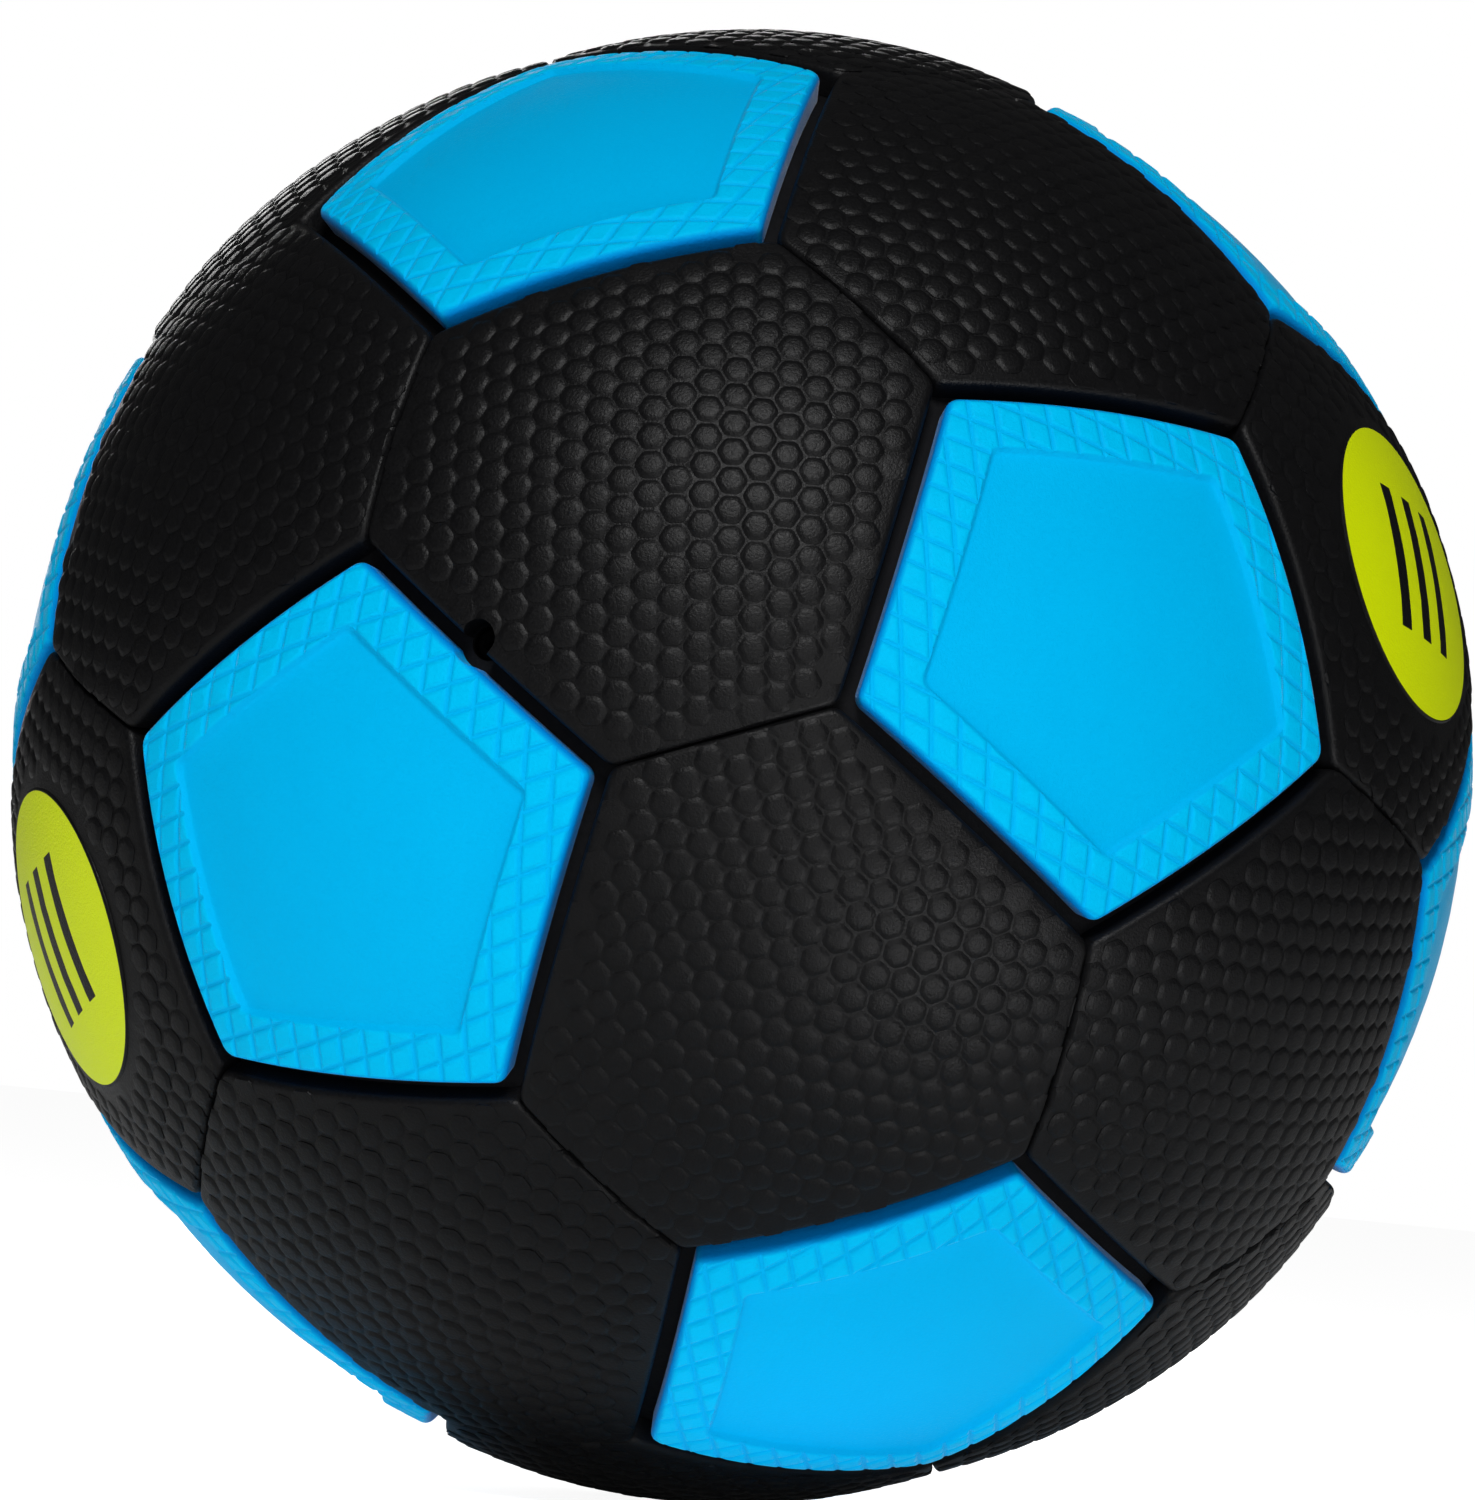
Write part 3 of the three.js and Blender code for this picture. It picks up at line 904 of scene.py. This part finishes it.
def groove_mesh():
    """The shape that one groove takes out of a rim: a bar with sloping sides, bent round the ball."""
    half = (
        (0.15 * MM, pad_top - groove_depth),
        (0.45 * MM, pad_top - 0.3 * groove_depth),
        (0.75 * MM, pad_top),
        (0.8 * MM, pad_top + 0.6 * MM),
    )
    section = [(-y, r) for y, r in half[::-1]] + list(half)
    count = len(section)
    work = bmesh.new()
    loops = []
    for step in range(groove_steps + 1):
        angle = groove_half_span * (2 * step / groove_steps - 1)
        loops.append([work.verts.new((r * math.sin(angle), y, r * math.cos(angle))) for y, r in section])
    for lower, upper in zip(loops, loops[1:]):
        for i in range(count):
            after = (i + 1) % count
            work.faces.new((lower[i], lower[after], upper[after], upper[i]))
    work.faces.new(loops[0])
    work.faces.new(loops[-1])
    bmesh.ops.recalc_face_normals(work, faces=work.faces)
    mesh = bpy.data.meshes.new("groove")
    work.to_mesh(mesh)
    work.free()
    return mesh


def hatching_tree():
    """Two sets of grooves, each on great circles a fixed angle apart, cut into the rim of a pad."""
    tree, given = new_tree(
        "Cross hatched rim",
        (
            ("Spacing", "Float"),
            ("Lean", "Float"),
            ("Axis", "Float"),
            ("Count", "Int"),
            ("Groove", "Object"),
            ("Drill", "Object"),
            ("Material", "Material"),
        ),
    )
    groove = add_node(tree, "GeometryNodeObjectInfo", {"Object": given["Groove"]}, transform_space="RELATIVE")
    line = add_node(tree, "GeometryNodeMeshLine", {"Count": given["Count"], "Offset": (0, 0, 0)})
    index = add_node(tree, "GeometryNodeInputIndex")
    last = add_node(tree, "ShaderNodeMath", {0: given["Count"], 1: 1.0}, operation="SUBTRACT")
    middle = add_node(tree, "ShaderNodeMath", {0: last.outputs[0], 1: 0.5}, operation="MULTIPLY")
    steps = add_node(
        tree, "ShaderNodeMath", {0: index.outputs[0], 1: middle.outputs[0]}, operation="SUBTRACT"
    )
    tilt = add_node(tree, "ShaderNodeMath", {0: steps.outputs[0], 1: given["Spacing"]}, operation="MULTIPLY")
    cut = add_node(
        tree,
        "GeometryNodeMeshBoolean",
        {"Mesh 1": given["Geometry"]},
        operation="DIFFERENCE",
        solver="MANIFOLD",
    )
    for operation in ("ADD", "SUBTRACT"):
        bearing = add_node(tree, "ShaderNodeMath", {0: given["Axis"], 1: given["Lean"]}, operation=operation)
        euler = add_node(tree, "ShaderNodeCombineXYZ", {0: tilt.outputs[0], 2: bearing.outputs[0]})
        turn = add_node(tree, "FunctionNodeEulerToRotation", {0: euler.outputs[0]})
        grooves = add_node(
            tree,
            "GeometryNodeInstanceOnPoints",
            {"Points": line.outputs[0], "Instance": groove.outputs["Geometry"], "Rotation": turn.outputs[0]},
        )
        real = add_node(tree, "GeometryNodeRealizeInstances", {"Geometry": grooves.outputs[0]})
        tree.links.new(real.outputs[0], cut.inputs["Mesh 2"])
    drill_info = add_node(
        tree, "GeometryNodeObjectInfo", {"Object": given["Drill"]}, transform_space="RELATIVE"
    )
    tree.links.new(drill_info.outputs["Geometry"], cut.inputs["Mesh 2"])
    end_tree(tree, cut.outputs[0], given["Material"])
    return tree


# EVA foam, moulded with a closed skin: bright blue and half dull, with slight clouds and a fine grain,
# drawn coarser than it is so that it shows.
blue_foam = moulded(
    "EVA foam, moulded, blue",
    "#00afe2",
    "#00b5e6",
    patch=12 * MM,
    grain=0.45 * MM,
    depth=0.1 * MM,
    roughness=(0.4, 0.6),
    sheen=0.03,
)
# The colour is painted a little deeper in the grooves and the sunk middle, and much deeper on the
# rolled edge: both are painted shade. That edge is where the pad reaches out to within the roll of a side.
blue = blue_foam.node_tree
blue_shader = blue.nodes["Principled BSDF"]
blue_place = add_node(blue, "ShaderNodeTexCoord").outputs["Object"]
from_middle = add_node(blue, "ShaderNodeVectorMath", {0: blue_place}, operation="LENGTH")
# Painted shade: the blue is mixed a little deeper below the top of the rim, in the grooves and the sunk
# middle.
sunk = add_node(
    blue,
    "ShaderNodeMapRange",
    {0: from_middle.outputs["Value"], 1: pad_top - 0.05 * MM, 2: pad_top - groove_depth, 3: 0.0, 4: 0.3},
)
pad_place = add_node(blue, "ShaderNodeUVMap", uv_map="pad").outputs[0]
pad_flat = add_node(blue, "ShaderNodeVectorMath", {0: pad_place, 1: (0.5, 0.5, 0)}, operation="SUBTRACT")
reach = None
for bearing, _ in pad_sides:
    side = add_node(
        blue,
        "ShaderNodeVectorMath",
        {0: pad_flat.outputs[0], 1: (*unit(bearing), 0)},
        operation="DOT_PRODUCT",
    ).outputs["Value"]
    if reach is not None:
        side = add_node(blue, "ShaderNodeMath", {0: reach, 1: side}, operation="MAXIMUM").outputs[0]
    reach = side
# Painted shade: the blue is mixed much deeper on the rolled edge, near each side of the pad.
rolled = add_node(
    blue,
    "ShaderNodeMapRange",
    {
        0: reach,
        1: math.tan((pad_reach - 0.7 * pad_roll) / ball_radius),
        2: math.tan((pad_reach - 0.05 * pad_roll) / ball_radius),
        3: 0.0,
        4: 1.0,
    },
)
skin = blue_shader.inputs["Base Color"].links[0].from_socket
for share, shade in ((sunk.outputs[0], "#0092d8"), (rolled.outputs[0], "#0080d2")):
    skin = add_node(blue, "ShaderNodeMix", {0: share, 6: skin, 7: linear(shade)}, data_type="RGBA").outputs[2]
blue.links.new(skin, blue_shader.inputs["Base Color"])
blue_shader.inputs["Sheen Weight"].default_value = 0.3
blue_shader.inputs["Sheen Roughness"].default_value = 0.15

hatching = hatching_tree()
groove = tool(groove_mesh())
notch = round_cutter("notch", notch_radius)
for number, direction in enumerate(pads, 1):
    node = f"pentagon_pad_{number:02d}"
    place = facing(direction, near_pads(direction, beside)[0])
    at_valve = direction.angle(valve_axis) < pad_to_hexagon / 1.5
    notch.matrix_world = place.inverted()
    pad_mesh = node_made(
        pad_solid(f"foam_pentagon_{number:02d}"),
        hatching,
        {
            "Spacing": groove_angle,
            "Lean": groove_lean,
            "Axis": math.radians(72 * groove_corners[number - 1]),
            "Count": groove_count,
            "Groove": groove,
            "Drill": notch if at_valve else None,
            "Material": blue_foam,
        },
    )
    flat = pad_mesh.uv_layers.new(name="pad")
    for loop in pad_mesh.loops:
        spot = pad_mesh.vertices[loop.vertex_index].co
        flat.data[loop.index].uv = spot.xy / spot.z + Vector((0.5, 0.5))
    pad_mesh.transform(place)
    pad = in_scene(pad_mesh, blue_foam, pad_crease)
    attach(pad, "ball")
    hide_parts(node)
for used in (groove, notch):
    bpy.data.objects.remove(used)


# Studio: a pale floor that glows, a painted glow that throws light up on the ball from the front, with a
# brighter painted patch to the right, and a white surround. A soft lamp hangs above the camera, with weaker
# ones beside it and behind.
floor_level = -ball_radius
floor_radius = 6.0
surround_fill = 0.05
paper_white = 0.92
# Painted glow from the floor for matt surfaces, from near its middle to far from it.
fill_middle = (0, -0.3, floor_level)
fill_reach = (0.2, 0.8)
fill_strength = (0.72, 0.1)
# The bright painted patch of light on the floor that only glossy surfaces show.
patch_middle = (0.15, -0.25, floor_level)
patch_reach = (0.02, 0.08)
patch_strength = 16.0
camera_place = Vector((35.96, -1292.8, -46.28)) * MM
camera_target = Vector((-1.0, 0.4, 2.3)) * MM
camera_roll = math.radians(5.69)
camera_lens = 211.67

scene = bpy.context.scene
scene.view_settings.view_transform = "Standard"


def background_ray(tree):
    """1 for a ray that shows the background: to the camera, through glass, or mirrored by polished metal."""
    ray = add_node(tree, "ShaderNodeLightPath").outputs
    mirrored = add_node(
        tree, "ShaderNodeMath", {0: ray["Is Glossy Ray"], 1: ray["Is Singular Ray"]}, operation="MULTIPLY"
    ).outputs[0]
    shown = ray["Is Camera Ray"]
    for other in (ray["Is Transmission Ray"], mirrored):
        shown = add_node(tree, "ShaderNodeMath", {0: shown, 1: other}, operation="MAXIMUM").outputs[0]
    return shown


world = bpy.data.worlds.new("white surround")
scene.world = world
world.use_nodes = True
sky_tree = world.node_tree
sky_tree.nodes.clear()
shown = background_ray(sky_tree)
level = add_node(sky_tree, "ShaderNodeMix", {0: shown, 2: surround_fill, 3: 1.0})
surround = add_node(
    sky_tree, "ShaderNodeBackground", {"Color": linear("#ffffff"), "Strength": level.outputs[0]}
)
add_node(sky_tree, "ShaderNodeOutputWorld", {0: surround.outputs[0]})

floor_mesh = bpy.data.meshes.new("floor")
floor_work = bmesh.new()
bmesh.ops.create_circle(floor_work, cap_ends=True, segments=96, radius=floor_radius)
floor_work.to_mesh(floor_mesh)
floor_work.free()
floor_mesh.transform(Matrix.Translation((0, 0, floor_level)))
# White paper, uncoated: quite matt, and as bright to the eye as the surround.
floor_paint = bpy.data.materials.new("paper floor, white")
floor_paint.use_nodes = True
paper = floor_paint.node_tree
paper_shader = paper.nodes["Principled BSDF"]
paper_shader.inputs["Base Color"].default_value = linear("#e8e8e8")
paper_shader.inputs["Roughness"].default_value = 0.9
paper_ray = add_node(paper, "ShaderNodeLightPath").outputs
paper_place = add_node(paper, "ShaderNodeTexCoord").outputs["Object"]
from_front = add_node(
    paper, "ShaderNodeVectorMath", {0: paper_place, 1: fill_middle}, operation="DISTANCE"
)
paper_fill = add_node(
    paper,
    "ShaderNodeMapRange",
    {
        0: from_front.outputs["Value"],
        1: fill_reach[0],
        2: fill_reach[1],
        3: fill_strength[0],
        4: fill_strength[1],
    },
)
from_patch = add_node(
    paper, "ShaderNodeVectorMath", {0: paper_place, 1: patch_middle}, operation="DISTANCE"
)
paper_patch = add_node(
    paper,
    "ShaderNodeMapRange",
    {0: from_patch.outputs["Value"], 1: patch_reach[0], 2: patch_reach[1], 3: patch_strength, 4: 0.0},
    interpolation_type="SMOOTHSTEP",
)
# The paper glows for rays from the ball too: a painted glow for matt surfaces and a painted patch for glossy
# ones.
paper_gleam = add_node(
    paper, "ShaderNodeMath", {0: paper_ray["Is Glossy Ray"], 1: paper_patch.outputs[0]}, operation="MULTIPLY"
)
paper_painted_glow = add_node(
    paper,
    "ShaderNodeMath",
    {0: paper_ray["Is Diffuse Ray"], 1: paper_fill.outputs[0], 2: paper_gleam.outputs[0]},
    operation="MULTIPLY_ADD",
)
paper_glow = add_node(
    paper,
    "ShaderNodeMath",
    {0: background_ray(paper), 1: paper_white, 2: paper_painted_glow.outputs[0]},
    operation="MULTIPLY_ADD",
)
paper_shader.inputs["Emission Color"].default_value = linear("#ffffff")
paper.links.new(paper_glow.outputs[0], paper_shader.inputs["Emission Strength"])
floor_mesh.materials.append(floor_paint)
floor = bpy.data.objects.new("floor", floor_mesh)
scene.collection.objects.link(floor)


def soft_lamp(name, place, size, power):
    """A square soft box that looks at the middle of the ball."""
    lamp = bpy.data.lights.new(name, "AREA")
    lamp.size = size
    lamp.energy = power
    holder = bpy.data.objects.new(name, lamp)
    holder.location = place
    holder.rotation_euler = (Vector() - Vector(place)).to_track_quat("-Z", "Y").to_euler()
    holder.visible_camera = False
    scene.collection.objects.link(holder)


soft_lamp("key lamp", (0.0, -1.17, 1.09), 0.42, 17.5)
soft_lamp("front lamp", (0.3, -1.5, 0.1), 0.5, 3.5)
soft_lamp("back lamp", (-0.3, 1.5, 0.35), 0.6, 10)

camera = bpy.data.objects.new("camera", bpy.data.cameras.new("camera"))
camera.data.lens = camera_lens
camera.location = camera_place
aim = (camera_target - camera_place).to_track_quat("-Z", "Y").to_matrix()
camera.rotation_euler = (aim @ Matrix.Rotation(camera_roll, 3, "Z")).to_euler()
scene.collection.objects.link(camera)
scene.camera = camera
